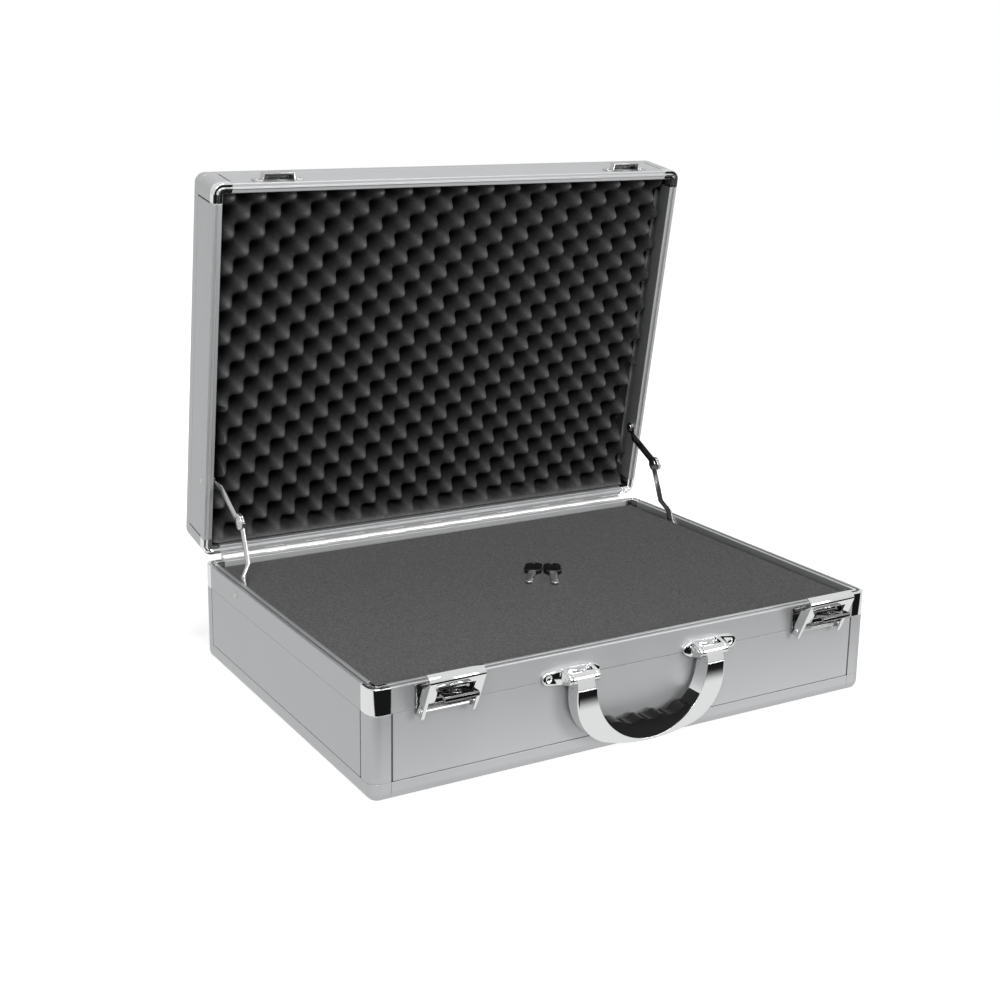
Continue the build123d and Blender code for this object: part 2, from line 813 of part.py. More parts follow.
def handle_bow():
    """Hanging bow: a wide leg at each end that thins to a narrow band under the grip."""
    corner_x = leg_outer - bow_corner_radius
    drop = bow_shoulder_z - bow_bottom
    bottom_radius = ((corner_x ** 2 + drop ** 2 - bow_corner_radius ** 2)
                     / (2 * (drop - bow_corner_radius)))
    bottom_centre_z = bow_bottom + bottom_radius
    reach = hypot(corner_x, bottom_centre_z - bow_shoulder_z)
    join_x = corner_x * bottom_radius / reach
    join_z = bottom_centre_z - (bottom_centre_z - bow_shoulder_z) * bottom_radius / reach
    with BuildPart() as bow:
        with BuildSketch(wall_face(0, handle_axis_out)):
            with BuildLine():
                Line((leg_outer, leg_top_z), (leg_outer, bow_shoulder_z))
                RadiusArc((leg_outer, bow_shoulder_z), (join_x, join_z), bow_corner_radius)
                RadiusArc((join_x, join_z), (-join_x, join_z), bottom_radius)
                RadiusArc((-join_x, join_z), (-leg_outer, bow_shoulder_z), bow_corner_radius)
                Polyline((-leg_outer, bow_shoulder_z), (-leg_outer, leg_top_z),
                         (leg_outer, leg_top_z))
            make_face()
        extrude(amount=bow_depth / 2, both=True)
        outline = bow.faces().filter_by(Axis.Y).edges().group_by(Axis.Z)[:-1]
        fillet([edge for group in outline for edge in group], bow_round)
        with BuildSketch(wall_face(0, handle_axis_out)):
            with Locations((0, inner_circle_z)):
                Circle(leg_inner)
            with Locations((0, inner_circle_z + leg_inner / 2)):
                Rectangle(2 * leg_inner, leg_inner)
        extrude(amount=bow_depth, both=True, mode=Mode.SUBTRACT)
        for sx in (-1, 1):
            leg = wall_section(sx * barrel_centre)
            with BuildSketch(leg, mode=Mode.PRIVATE) as taper:
                with Locations((handle_axis_out, handle_axis_z)):
                    Circle(barrel_radius)
                with Locations((handle_axis_out, leg_top_z + leg_root / 2)):
                    Rectangle(bow_depth - bow_round, leg_root)
                make_hull()
            extrude(taper.sketch, amount=leg_width / 2 - bow_round / 2, both=True)
            with BuildSketch(leg, mode=Mode.PRIVATE) as barrel:
                with Locations((handle_axis_out, handle_axis_z)):
                    Circle(barrel_radius)
            extrude(barrel.sketch, amount=barrel_length / 2, both=True)
        with BuildSketch(wall_section(0)):
            with Locations((handle_axis_out, handle_axis_z)):
                Circle(handle_pin_radius + pin_fit)
        extrude(amount=half_width, both=True, mode=Mode.SUBTRACT)
    return bow.part


def handle_grip():
    """Black grip that fills the bottom of the bow, with finger waves on its upper side."""
    radius = leg_inner - grip_fit
    end_z = inner_circle_z - sqrt(radius ** 2 - grip_end_x ** 2)
    wave = [(step * finger_pitch / 2, grip_top + (grip_wave if step % 2 else -grip_wave))
            for step in range(-3, 4)]
    shoulder_z = grip_top + 1.6 * grip_wave
    with BuildPart() as grip:
        with BuildSketch(wall_face(0, handle_axis_out)):
            with BuildLine():
                Line((-grip_end_x, end_z), (-grip_shoulder_x, shoulder_z))
                Spline((-grip_shoulder_x, shoulder_z), *wave, (grip_shoulder_x, shoulder_z))
                Line((grip_shoulder_x, shoulder_z), (grip_end_x, end_z))
                ThreePointArc((grip_end_x, end_z), (0, inner_circle_z - radius),
                              (-grip_end_x, end_z))
            make_face()
        extrude(amount=grip_depth / 2, both=True)
    return grip.part


# Hinges
def hinge_leaf(turn_half, upward, knuckles):
    """A leaf of the long hinge: a strip on the rear wall, with its share of the knuckles."""
    pitch = hinge_length / knuckle_count
    sense = 1 if upward else -1
    face = turn_half(Plane(origin=(0, half_depth, base_height), x_dir=(1, 0, 0), z_dir=(0, 1, 0)))
    with BuildPart() as leaf:
        with BuildSketch(face):
            with Locations((0, -sense * (leaf_set_back + leaf_height) / 2)):
                Rectangle(hinge_length, leaf_height - leaf_set_back)
        extrude(amount=leaf_thickness)
        for index in knuckles:
            x = (index + 0.5) * pitch - hinge_length / 2
            section = turn_half(Plane(origin=(x, half_depth, base_height),
                                      x_dir=(0, 1, 0), z_dir=(1, 0, 0)))
            with BuildSketch(section, mode=Mode.PRIVATE) as knuckle:
                with Locations((hinge_y - half_depth, 0)):
                    Circle(knuckle_radius)
                with Locations((leaf_thickness / 2, sense * (leaf_set_back + 1) / 2)):
                    Rectangle(leaf_thickness, leaf_set_back + 1)
                with Locations((hinge_y - half_depth, 0)):
                    Circle(hinge_pin_radius + hinge_bore_fit, mode=Mode.SUBTRACT)
            extrude(knuckle.sketch, amount=pitch / 2 - knuckle_gap / 2, both=True)
    return leaf.part


def hinge_pin():
    with BuildPart() as pin:
        with BuildSketch(Plane(origin=(0, hinge_y, base_height), x_dir=(0, 1, 0),
                               z_dir=(1, 0, 0))):
            Circle(hinge_pin_radius)
        extrude(amount=hinge_length / 2 + 0.5, both=True)
    return pin.part


# Foam
def base_foam():
    with BuildPart() as foam:
        with BuildSketch(Plane.XY.offset(profile_wall)):
            RectangleRounded(2 * (inner_face - foam_side_gap),
                             case_depth - 2 * (head_width + foam_end_gap), foam_corner)
        extrude(amount=foam_top - profile_wall)
    return foam.part


def pit_places(width, depth):
    """Centres of the pits, every second row half a pitch along."""
    places = []
    for row in range(-12, 13):
        for column in range(-10, 11):
            x = pit_phase_x + (column + (row % 2) / 2) * pit_pitch_x
            y = pit_phase_y + row * pit_pitch_y / 2
            clear_x = width / 2 - abs(x) > pit_pitch_x * pit_top_share / 2 + pit_margin
            clear_y = depth / 2 - abs(y) > pit_pitch_y * pit_top_share / 2 + pit_margin
            if clear_x and clear_y:
                places.append((x, -y))
    return places


def lid_foam():
    """Convoluted foam: rows of tapered pits that all but meet at their corners."""
    width = 2 * (inner_face - foam_side_gap)
    depth = case_depth - 2 * (head_width + foam_end_gap)
    face_height = lid_rim_height - lid_foam_drop
    with BuildPart() as pit:
        with BuildSketch(Plane.XY):
            Rectangle(pit_pitch_x * pit_top_share, pit_pitch_y * pit_top_share)
        with BuildSketch(Plane.XY.offset(-pit_depth)):
            Rectangle(pit_pitch_x * pit_floor_share, pit_pitch_y * pit_floor_share)
        loft()
    notch_low = lid_pivot_y - upper_link_length - elbow_radius - foam_notch_margin
    notch_high = lid_pivot_y + link_eye_radius + foam_notch_margin
    with BuildPart(lid_half) as foam:
        with BuildSketch(on(lid_half, (0, 0, profile_wall), (1, 0, 0), UP)):
            RectangleRounded(width, depth, foam_corner)
        extrude(amount=face_height - profile_wall)
        with BuildSketch(on(lid_half, (0, 0, profile_wall), (1, 0, 0), UP)):
            for sx in (-1, 1):
                with Locations((sx * inner_face, -(notch_low + notch_high) / 2)):
                    Rectangle(2 * (stay_reach + 1), notch_high - notch_low)
        extrude(amount=face_height, mode=Mode.SUBTRACT)
        with Locations([(x, y, face_height) for x, y in pit_places(width, depth)]):
            add(pit.part, mode=Mode.SUBTRACT)
    return foam.part


# Keys
def key_plane(spot, turn):
    """Plane under one key lying on the foam: origin in the head, x towards the blade."""
    angle = radians(turn)
    return Plane(origin=(*spot, foam_top), x_dir=(cos(angle), sin(angle), 0), z_dir=UP)


def key_heads():
    with BuildPart() as heads:
        for spot, turn in zip(key_spots, key_turns):
            with BuildSketch(key_plane(spot, turn)):
                RectangleRounded(key_head_length, key_head_width, key_head_corner)
                with Locations((2 * key_hole_radius - key_head_length / 2, 0)):
                    Circle(key_hole_radius, mode=Mode.SUBTRACT)
            extrude(amount=key_head_thickness)
        fillet(heads.edges().group_by(Axis.Z)[-1], key_head_round)
    return heads.part


def key_blades():
    start = key_head_length / 2
    end = start + key_blade_length
    half = key_blade_width / 2
    rise = (key_head_thickness - key_blade_thickness) / 2
    with BuildPart() as blades:
        for spot, turn in zip(key_spots, key_turns):
            with BuildSketch(key_plane(spot, turn).offset(rise)):
                with BuildLine():
                    Polyline((start, -half), (end - half, -half), (end, 0),
                             (end - key_tooth, half), (end - 2 * key_tooth, half * 0.4),
                             (end - 3 * key_tooth, half), (end - 4 * key_tooth, half * 0.5),
                             (start + key_shoulder, half), (start, half), close=True)
                make_face()
            extrude(amount=key_blade_thickness)
    return blades.part


def standing(plane):
    """The base stays where it is drawn."""
    return plane


os.makedirs("parts", exist_ok=True)

# Base and lid shells, made the same way
shells = (
    ("base", "bottom", base_half, base_height, base_flange, False, -1, base_pivot, standing),
    ("lid", "top", lid_half, lid_rim_height, lid_flange, True, 1, lid_pivot_closed, opened),
)
for name, face, half, height, flange, tongue, front_side, pivot, stand in shells:
    walls = wall_table(front_side)
    long_walls = (walls["front"], walls["rear"])
    short_walls = (walls["left"], walls["right"])
    save(face_panel(half), f"{name}_{face}_panel")
    for side, wall in walls.items():
        panel = wall_panel(half, wall, height, flange)
        if side in ("left", "right"):
            panel = bored(panel, pivot, stand)
        save(panel, f"{name}_{side}_panel")
    save(edge_rails(half, long_walls), f"{name}_long_edge_rails")
    save(edge_rails(half, short_walls), f"{name}_short_edge_rails")
    save(face_corners(half), f"{name}_{face}_corners")
    save(corner_posts(half, height, flange), f"{name}_corner_posts")
    save(rim_bars(half, long_walls, height, flange, tongue), f"{name}_long_rims")
    short_rims = rim_bars(half, short_walls, height, flange, tongue)
    save(bored(short_rims, pivot, stand), f"{name}_short_rims")
    save(rim_corners(half, height, flange, tongue), f"{name}_rim_corners")
    save(stay_rivets(pivot, stand), f"stay_{name}_rivets")
save(base_foam(), "base_foam")
save(lid_foam(), "lid_foam")

# Hinges and stays
save(hinge_leaf(standing, False, range(0, knuckle_count, 2)), "hinge_base_leaf")
save(hinge_leaf(opened, True, range(1, knuckle_count, 2)), "hinge_lid_leaf")
save(hinge_pin(), "hinge_pin")
for side, sx in (("left", -1), ("right", 1)):
    lower = stay_link(sx, base_pivot, elbow, lower_link_step,
                      lower_joggle_start, lower_joggle_length, True)
    upper = stay_link(sx, lid_pivot, elbow, upper_link_step,
                      upper_joggle_start, upper_joggle_length, False)
    save(lower, f"stay_{side}_lower_link")
    save(upper, f"stay_{side}_upper_link")

# Latches and keepers
for side, sx in (("left", -1), ("right", 1)):
    x = sx * latch_spacing / 2
    save(latch_plate(x), f"latch_{side}_plate")
    save(latch_hinge_pin(x), f"latch_{side}_hinge_pin")
    save(latch_cover(x), f"latch_{side}_cover")
    save(latch_carrier(x), f"latch_{side}_carrier")
    save(latch_lever(x), f"latch_{side}_lever")
    save(lock_plug(x), f"latch_{side}_lock_plug")
    save(keeper(x), f"keeper_{side}")

# Handle
for side, sx in (("left", -1), ("right", 1)):
    save(handle_bracket(sx), f"handle_{side}_bracket")
save(handle_pins(), "handle_pins")
save(handle_bow(), "handle_bow")
save(handle_grip(), "handle_grip")

# Keys left in the case
save(key_heads(), "key_heads")
save(key_blades(), "key_blades")

# The folding stays in numbers, for the record of joints
lower_turn = degrees(link_angle(base_pivot, elbow_closed) - link_angle(base_pivot, elbow))
upper_turn = degrees(link_angle(lid_pivot_closed, elbow_closed) - link_angle(lid_pivot, elbow))
print("elbow", elbow, "elbow closed", elbow_closed, "lid pivot", lid_pivot)
print("lower link turn", lower_turn, "upper link turn against the base", upper_turn)
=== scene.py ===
"""Dresses the aluminium tool case: satin profiles, bright hardware and foam inserts."""

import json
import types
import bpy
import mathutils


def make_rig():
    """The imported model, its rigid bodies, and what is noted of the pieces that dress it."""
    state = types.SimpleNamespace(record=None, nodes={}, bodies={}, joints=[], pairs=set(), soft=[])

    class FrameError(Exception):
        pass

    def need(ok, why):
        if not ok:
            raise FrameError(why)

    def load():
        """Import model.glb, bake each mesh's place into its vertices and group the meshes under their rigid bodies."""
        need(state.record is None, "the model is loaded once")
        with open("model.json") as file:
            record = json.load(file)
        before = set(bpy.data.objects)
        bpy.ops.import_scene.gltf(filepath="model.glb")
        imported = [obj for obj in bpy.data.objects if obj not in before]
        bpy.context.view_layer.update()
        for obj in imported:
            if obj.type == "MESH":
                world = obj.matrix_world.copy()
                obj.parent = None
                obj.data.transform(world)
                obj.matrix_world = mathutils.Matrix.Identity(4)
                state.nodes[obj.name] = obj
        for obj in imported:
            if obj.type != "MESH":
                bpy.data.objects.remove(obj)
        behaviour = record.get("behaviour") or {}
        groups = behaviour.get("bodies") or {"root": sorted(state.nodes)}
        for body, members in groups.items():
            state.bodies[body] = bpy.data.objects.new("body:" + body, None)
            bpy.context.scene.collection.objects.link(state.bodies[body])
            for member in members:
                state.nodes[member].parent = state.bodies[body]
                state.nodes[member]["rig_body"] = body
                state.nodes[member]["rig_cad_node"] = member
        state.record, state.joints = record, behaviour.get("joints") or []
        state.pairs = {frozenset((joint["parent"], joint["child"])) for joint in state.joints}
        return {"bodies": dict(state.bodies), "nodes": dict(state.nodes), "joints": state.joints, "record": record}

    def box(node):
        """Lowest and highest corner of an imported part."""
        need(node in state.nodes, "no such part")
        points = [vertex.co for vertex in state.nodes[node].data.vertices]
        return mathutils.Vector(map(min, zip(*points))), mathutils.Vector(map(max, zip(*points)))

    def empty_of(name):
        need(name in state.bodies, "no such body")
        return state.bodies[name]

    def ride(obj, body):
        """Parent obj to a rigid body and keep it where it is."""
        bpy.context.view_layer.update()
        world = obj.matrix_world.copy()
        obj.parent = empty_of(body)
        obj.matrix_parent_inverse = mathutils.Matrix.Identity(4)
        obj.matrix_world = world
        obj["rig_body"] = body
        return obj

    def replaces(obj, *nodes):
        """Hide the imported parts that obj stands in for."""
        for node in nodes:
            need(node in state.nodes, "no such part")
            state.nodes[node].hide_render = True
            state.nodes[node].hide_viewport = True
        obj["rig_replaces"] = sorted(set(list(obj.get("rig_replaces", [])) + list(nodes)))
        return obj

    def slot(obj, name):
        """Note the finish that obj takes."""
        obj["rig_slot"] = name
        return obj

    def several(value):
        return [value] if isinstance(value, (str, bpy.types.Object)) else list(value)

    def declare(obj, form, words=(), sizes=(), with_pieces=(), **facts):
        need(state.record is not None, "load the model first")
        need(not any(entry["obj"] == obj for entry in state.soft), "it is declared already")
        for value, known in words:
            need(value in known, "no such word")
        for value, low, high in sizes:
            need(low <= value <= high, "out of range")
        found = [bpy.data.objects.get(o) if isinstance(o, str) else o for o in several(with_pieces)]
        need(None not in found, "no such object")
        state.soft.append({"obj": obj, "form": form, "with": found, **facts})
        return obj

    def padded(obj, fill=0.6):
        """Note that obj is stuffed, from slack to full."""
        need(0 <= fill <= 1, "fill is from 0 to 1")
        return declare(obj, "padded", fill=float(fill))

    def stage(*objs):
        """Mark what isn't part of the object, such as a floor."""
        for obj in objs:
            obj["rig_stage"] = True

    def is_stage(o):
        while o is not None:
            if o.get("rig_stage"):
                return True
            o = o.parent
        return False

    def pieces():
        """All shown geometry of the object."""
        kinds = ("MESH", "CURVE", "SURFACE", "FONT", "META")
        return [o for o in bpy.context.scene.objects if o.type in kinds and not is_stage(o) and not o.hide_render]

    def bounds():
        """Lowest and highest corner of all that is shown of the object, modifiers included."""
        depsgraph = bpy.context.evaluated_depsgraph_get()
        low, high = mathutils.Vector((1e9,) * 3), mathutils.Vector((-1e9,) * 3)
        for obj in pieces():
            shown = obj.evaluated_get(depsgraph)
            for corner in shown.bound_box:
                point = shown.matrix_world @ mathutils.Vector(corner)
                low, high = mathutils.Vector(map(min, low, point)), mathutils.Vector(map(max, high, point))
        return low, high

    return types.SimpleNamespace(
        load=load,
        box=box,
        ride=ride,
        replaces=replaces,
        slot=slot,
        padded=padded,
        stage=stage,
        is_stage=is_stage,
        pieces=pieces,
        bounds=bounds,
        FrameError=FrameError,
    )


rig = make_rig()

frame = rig.load()
case_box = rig.bounds()

import json
from math import cos, pi, radians, sin

import bpy
from bpy.props import FloatProperty, FloatVectorProperty, PointerProperty
from mathutils import Matrix, Vector

bl_info = {
    "name": "Aluminium tool case",
    "version": (1, 0, 0),
    "blender": (4, 5, 0),
    "location": "View3D > Sidebar > Tool case",
    "description": "Builds the looks of an open aluminium tool case with foam inserts",
    "category": "Object",
}

MM = 0.001
SIDES = ("left", "right")
SIZE_FILE = "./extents.json"


# Colours and shader nodes
def linear(hex_colour):
    """Linear RGBA of an sRGB hex value."""
    channels = [int(hex_colour[i:i + 2], 16) / 255 for i in (1, 3, 5)]
    return (*[c / 12.92 if c <= 0.04045 else ((c + 0.055) / 1.055) ** 2.4
              for c in channels], 1.0)


def add_node(tree, kind, settings=None, values=None, links=None):
    """Adds one node, sets its properties and socket values, and links its inputs."""
    made = tree.nodes.new(kind)
    for name, value in (settings or {}).items():
        setattr(made, name, value)
    for name, value in (values or {}).items():
        made.inputs[name].default_value = value
    for name, output in (links or {}).items():
        tree.links.new(output, made.inputs[name])
    return made


def blank_material(name):
    """A new material that has no nodes yet."""
    material = bpy.data.materials.new(name)
    material.use_nodes = True
    material.node_tree.nodes.clear()
    return material


# Properties
class CaseFinish(bpy.types.PropertyGroup):
    sheet_colour: FloatVectorProperty(
        name="Sheet", description="Anodised sheet of the walls, and the rims round the opening",
        subtype="COLOR", size=4, min=0, max=1, default=linear("#C3C4C5"))
    profile_colour: FloatVectorProperty(
        name="Profiles", description="Anodised extrusions and castings along the edges",
        subtype="COLOR", size=4, min=0, max=1, default=linear("#C4C5C6"))
    chrome_colour: FloatVectorProperty(
        name="Chrome", description="Bright plating of the handle, latch covers and rim corners",
        subtype="COLOR", size=4, min=0, max=1, default=linear("#EDEEEE"))
    nickel_colour: FloatVectorProperty(
        name="Nickel", description="Plating of the stays, their rivets and the keepers",
        subtype="COLOR", size=4, min=0, max=1, default=linear("#C2C2C1"))
    hinge_colour: FloatVectorProperty(
        name="Hinge", description="Bright drawn metal of the long hinge and the key blades",
        subtype="COLOR", size=4, min=0, max=1, default=linear("#E4E4E3"))
    zinc_colour: FloatVectorProperty(
        name="Zinc", description="Plating of the latch levers and latch plates",
        subtype="COLOR", size=4, min=0, max=1, default=linear("#9A9A9A"))
    dark_zinc_colour: FloatVectorProperty(
        name="Dark zinc", description="Brackets inside the latch covers",
        subtype="COLOR", size=4, min=0, max=1, default=linear("#4C4C4C"))
    plastic_colour: FloatVectorProperty(
        name="Black plastic", description="Grip and key heads",
        subtype="COLOR", size=4, min=0, max=1, default=linear("#0E0E0E"))
    base_foam_colour: FloatVectorProperty(
        name="Base foam", description="Flat foam in the base",
        subtype="COLOR", size=4, min=0, max=1, default=linear("#747474"))
    lid_foam_colour: FloatVectorProperty(
        name="Lid foam", description="Egg-crate foam in the lid",
        subtype="COLOR", size=4, min=0, max=1, default=linear("#454545"))


class CaseSizes(bpy.types.PropertyGroup):
    pitch_across: FloatProperty(
        name="Pitch across", description="Distance between pits along the width of the lid",
        unit="LENGTH", default=27.0 * MM)
    pitch_along: FloatProperty(
        name="Pitch along", description="Distance between pits along the depth of the lid",
        unit="LENGTH", default=30.3 * MM)
    pit_depth: FloatProperty(
        name="Pit depth", description="From the peaks of the foam to the floor of its pits",
        unit="LENGTH", default=25.0 * MM)
    foam_roll: FloatProperty(
        name="Foam border", description="Width over which the lid foam rolls down to its border",
        unit="LENGTH", default=2.4 * MM)
    foam_round: FloatProperty(
        name="Foam edge", description="Radius of the soft upper edge of the base foam",
        unit="LENGTH", default=1.6 * MM)
    latch_tilt: FloatProperty(
        name="Latch tilt", description="How far the open latch covers lean out from the wall",
        unit="ROTATION", default=radians(24))
    grip_wave: FloatProperty(
        name="Grip wave", description="How much deeper the finger waves are than in the solid",
        default=1.45, min=1.0)
    hardware_round: FloatProperty(
        name="Hardware edge", description="Width of the rounding on pressed metal parts",
        unit="LENGTH", default=0.3 * MM)


class CaseStage(bpy.types.PropertyGroup):
    floor_colour: FloatVectorProperty(
        name="Floor", description="Paper that the case stands on",
        subtype="COLOR", size=4, min=0, max=1, default=linear("#F2F2F2"))
    paper_glow: FloatProperty(
        name="Paper", description="Brightness of the floor paper for the camera, without its light",
        default=0.6, min=0.0)
    paper_level: FloatProperty(
        name="Mirrored paper", description="Brightness of the paper as bright metal shows it",
        default=0.85, min=0.0)
    wall_level: FloatProperty(
        name="Mirrored walls", description="Brightness of the room as bright metal shows it",
        default=0.9, min=0.0)
    ceiling_level: FloatProperty(
        name="Mirrored ceiling", description="Brightness overhead as bright metal shows it",
        default=1.0, min=0.0)
    room_level: FloatProperty(
        name="Room light", description="Strength of the light that comes from all round",
        default=0.12, min=0.0)
    key_power: FloatProperty(
        name="Key light", description="Power of the large light in front on the left",
        unit="POWER", default=34.0)
    top_power: FloatProperty(
        name="Top light", description="Power of the overhead softbox",
        unit="POWER", default=22.0)
    fill_power: FloatProperty(
        name="Fill light", description="Power of the light in front on the right",
        unit="POWER", default=15.0)


# Materials
def metal(name, colour, roughness, spread, grain, depth, edge):
    """A metal whose roughness wanders by a little, with a grain of the given size and depth.

    Its edges catch the light over the given radius, as a real part's broken edges do."""
    smudge_size = 34 * MM
    tree = blank_material(name).node_tree
    coords = add_node(tree, "ShaderNodeTexCoord").outputs["Object"]
    grains = add_node(tree, "ShaderNodeTexNoise",
                      values={"Scale": 1 / grain, "Detail": 3.0, "Roughness": 0.6},
                      links={"Vector": coords})
    rounded = add_node(tree, "ShaderNodeBevel", {"samples": 8}, {"Radius": edge})
    bump = add_node(tree, "ShaderNodeBump", values={"Strength": 1.0, "Distance": depth},
                    links={"Height": grains.outputs["Fac"], "Normal": rounded.outputs[0]})
    smudges = add_node(tree, "ShaderNodeTexNoise",
                       values={"Scale": 1 / smudge_size, "Detail": 4.0, "Roughness": 0.55},
                       links={"Vector": coords})
    worn = add_node(tree, "ShaderNodeMapRange",
                    values={"From Min": 0.3, "From Max": 0.7, "To Min": roughness - spread,
                            "To Max": roughness + spread},
                    links={"Value": smudges.outputs["Fac"]})
    shader = add_node(tree, "ShaderNodeBsdfPrincipled",
                      values={"Base Color": colour, "Metallic": 1.0},
                      links={"Roughness": worn.outputs[0], "Normal": bump.outputs[0]})
    add_node(tree, "ShaderNodeOutputMaterial", links={"Surface": shader.outputs[0]})


def foam(name, colour, cell, depth, speck, peak=1.0, floor=1.0):
    """Open-cell foam: tiny dark pores and a few bright cell walls that catch the light.

    A piece with the attribute "pit" takes painted shade from it: the tone runs from paler peaks to nearly black pit
    floors, standing in for the shade that falls in the pits."""
    fluff_size = 2.5 * cell
    tree = blank_material(name).node_tree
    coords = add_node(tree, "ShaderNodeTexCoord").outputs["Object"]
    cells = add_node(tree, "ShaderNodeTexVoronoi", values={"Scale": 1 / cell},
                     links={"Vector": coords})
    fluff = add_node(tree, "ShaderNodeTexNoise",
                     values={"Scale": 1 / fluff_size, "Detail": 5.0, "Roughness": 0.75},
                     links={"Vector": coords})
    tone = add_node(tree, "ShaderNodeMapRange",
                    values={"From Min": 0.25, "From Max": 0.75, "To Min": 1 - speck,
                            "To Max": 1 + speck},
                    links={"Value": fluff.outputs["Fac"]})
    glint = add_node(tree, "ShaderNodeMapRange",
                     values={"From Min": 0.0, "From Max": 0.6, "To Min": 1 + speck,
                             "To Max": 1 - speck},
                     links={"Value": cells.outputs["Distance"]})
    both = add_node(tree, "ShaderNodeMath", {"operation": "MULTIPLY"},
                    links={0: tone.outputs[0], 1: glint.outputs[0]})
    # Painted shade: the "pit" attribute darkens the foam towards its pit floors and pales its peaks, in place of the
    # shade in the pits
    pit = add_node(tree, "ShaderNodeAttribute", {"attribute_name": "pit"})
    painted_pit_shade = add_node(tree, "ShaderNodeMapRange", values={"To Min": peak, "To Max": floor},
                    links={"Value": pit.outputs["Fac"]})
    shade = add_node(tree, "ShaderNodeMath", {"operation": "MULTIPLY"},
                     links={0: both.outputs[0], 1: painted_pit_shade.outputs[0]})
    tinted = add_node(tree, "ShaderNodeVectorMath", {"operation": "SCALE"},
                      values={0: colour[:3]}, links={"Scale": shade.outputs[0]})
    bump = add_node(tree, "ShaderNodeBump", values={"Strength": 0.9, "Distance": depth},
                    links={"Height": both.outputs[0]})
    shader = add_node(tree, "ShaderNodeBsdfPrincipled",
                      values={"Roughness": 1.0, "Specular IOR Level": 0.02},
                      links={"Base Color": tinted.outputs[0], "Normal": bump.outputs[0]})
    add_node(tree, "ShaderNodeOutputMaterial", links={"Surface": shader.outputs[0]})


def black_plastic(name, colour, shine):
    """Moulded plastic: almost black, with a faint orange-peel ripple."""
    ripple_size, ripple_depth = 3 * MM, 0.02 * MM
    tree = blank_material(name).node_tree
    coords = add_node(tree, "ShaderNodeTexCoord").outputs["Object"]
    ripple = add_node(tree, "ShaderNodeTexNoise",
                      values={"Scale": 1 / ripple_size, "Detail": 2.0}, links={"Vector": coords})
    bump = add_node(tree, "ShaderNodeBump", values={"Strength": 1.0, "Distance": ripple_depth},
                    links={"Height": ripple.outputs["Fac"]})
    shader = add_node(tree, "ShaderNodeBsdfPrincipled",
                      values={"Base Color": colour, "Roughness": 0.3, "IOR": 1.54,
                              "Specular IOR Level": shine},
                      links={"Normal": bump.outputs[0]})
    add_node(tree, "ShaderNodeOutputMaterial", links={"Surface": shader.outputs[0]})


def case_materials():
    """All finishes of the case, made once and then looked up by name.

    Grain and pores are drawn coarser than the real ones, which are too fine to show."""
    finish = bpy.context.scene.case_finish
    if "anodised_sheet" in bpy.data.materials:
        return bpy.data.materials
    # Bead-blasted and anodised sheet: an even satin grey with a very fine grain
    metal("anodised_sheet", finish.sheet_colour, roughness=0.56, spread=0.02,
          grain=0.8 * MM, depth=0.010 * MM, edge=0.3 * MM)
    # Anodised extrusions: the same metal, a little smoother, so edges draw bright lines
    metal("anodised_profile", finish.profile_colour, roughness=0.5, spread=0.02,
          grain=0.7 * MM, depth=0.006 * MM, edge=0.5 * MM)
    # Anodised rims: their rounded lip draws one bright line all round the opening
    metal("anodised_rim", finish.sheet_colour, roughness=0.55, spread=0.02,
          grain=0.7 * MM, depth=0.006 * MM, edge=1.1 * MM)
    # Bright chrome on polished metal: a mirror that shows white paper and dark room
    metal("bright_chrome", finish.chrome_colour, roughness=0.05, spread=0.015,
          grain=6.0 * MM, depth=0.004 * MM, edge=0.3 * MM)
    # Rolled hinge strip: drawn bright, with a soft shine along its knuckles
    metal("drawn_hinge", finish.hinge_colour, roughness=0.38, spread=0.02,
          grain=0.9 * MM, depth=0.004 * MM, edge=0.6 * MM)
    # Zinc-plated pressed steel of the latches: greyer than the chrome round it
    metal("zinc_plate", finish.zinc_colour, roughness=0.14, spread=0.03,
          grain=1.5 * MM, depth=0.004 * MM, edge=0.3 * MM)
    # Black-passivated zinc on the brackets: dull and dark inside the latch covers
    metal("dark_zinc", finish.dark_zinc_colour, roughness=0.24, spread=0.03,
          grain=1.5 * MM, depth=0.004 * MM, edge=0.3 * MM)
    # Barrel-plated nickel: softer than chrome, a little uneven
    metal("nickel_plate", finish.nickel_colour, roughness=0.22, spread=0.04,
          grain=1.5 * MM, depth=0.008 * MM, edge=0.3 * MM)
    # Polyurethane foam cut flat: grey, matt, with pores under a millimetre
    foam("flat_foam", finish.base_foam_colour, cell=0.9 * MM, depth=0.25 * MM, speck=0.34)
    # Convoluted polyurethane foam: nearly black, with painted shade that darkens its pits and pales its peaks, so the
    # pits read as holes
    foam("egg_crate_foam", finish.lid_foam_colour, cell=0.9 * MM, depth=0.25 * MM, speck=0.2,
         peak=3.0, floor=0.01)
    # Soft vinyl of the grip: black, with only a dull shine on its finger waves
    black_plastic("black_vinyl", finish.plastic_colour, shine=0.12)
    # Moulded ABS of the key heads: black and glossy
    black_plastic("black_abs", finish.plastic_colour, shine=0.6)
    return bpy.data.materials


def finish_of(node):
    """The finish of a CAD node, by what it is."""
    if node.endswith("_panel"):
        return "anodised_sheet"
    if node.endswith("rim_corners"):
        return "bright_chrome"
    if node.endswith("_rims"):
        return "anodised_rim"
    if node.endswith("_carrier"):
        return "dark_zinc"
    if node.endswith(("_lever", "_plate")):
        return "zinc_plate"
    if node.startswith("hinge") or node == "key_blades":
        return "drawn_hinge"
    if node.startswith(("base_", "lid_")):
        return "anodised_profile"
    if node.startswith(("stay", "keeper")):
        return "nickel_plate"
    if node == "handle_grip":
        return "black_vinyl"
    if node == "key_heads":
        return "black_abs"
    return "bright_chrome"


def give_material(piece, name):
    """Leaves a piece with one finish only."""
    piece.data.materials.clear()
    piece.data.materials.append(case_materials()[name])


